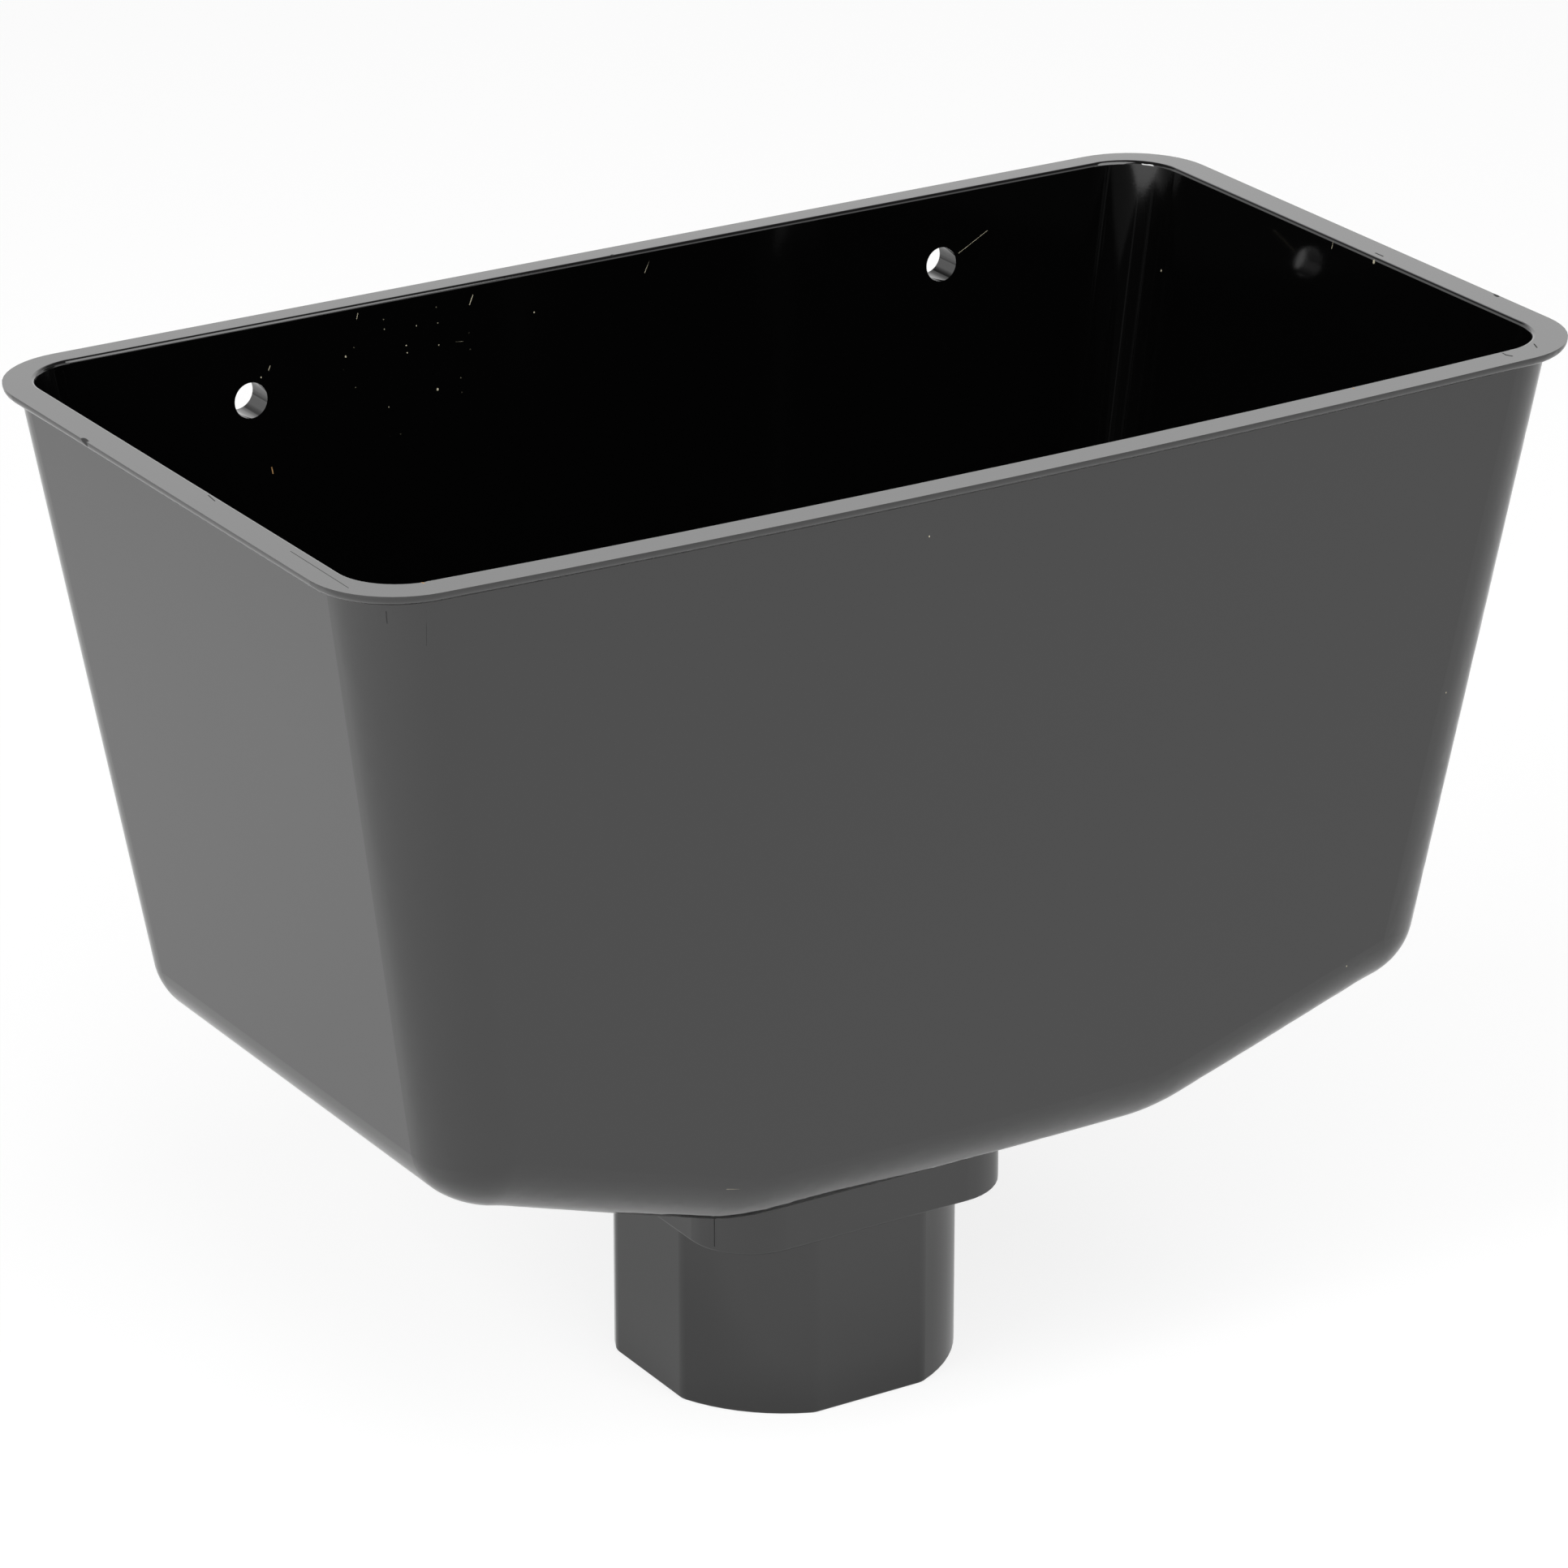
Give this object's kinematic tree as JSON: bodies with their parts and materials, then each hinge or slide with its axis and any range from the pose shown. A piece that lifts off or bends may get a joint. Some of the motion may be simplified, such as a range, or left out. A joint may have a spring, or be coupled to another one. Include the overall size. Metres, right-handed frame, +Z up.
{
  "type": "downpipe hopper head",
  "caption": "Moulded hopper head: an open tapered basin with a flanged rim that is screwed to a wall, gathers rainwater and drops it through a square spigot into a downpipe.",
  "frame": {"origin": "midway between the two wall screws, on the wall plane that the screw pads and the rim's rear edge touch", "axes": "+X along the wall, +Y out of the back into the wall, +Z up; the outlet points down"},
  "size_m": [0.2566, 0.1457, 0.1971],
  "materials": {
    "moulding": "satin black injection-moulded PVC-U"
  },
  "bodies": {
    "root": {"hopper_head": "moulding"}
  },
  "joints": []
}
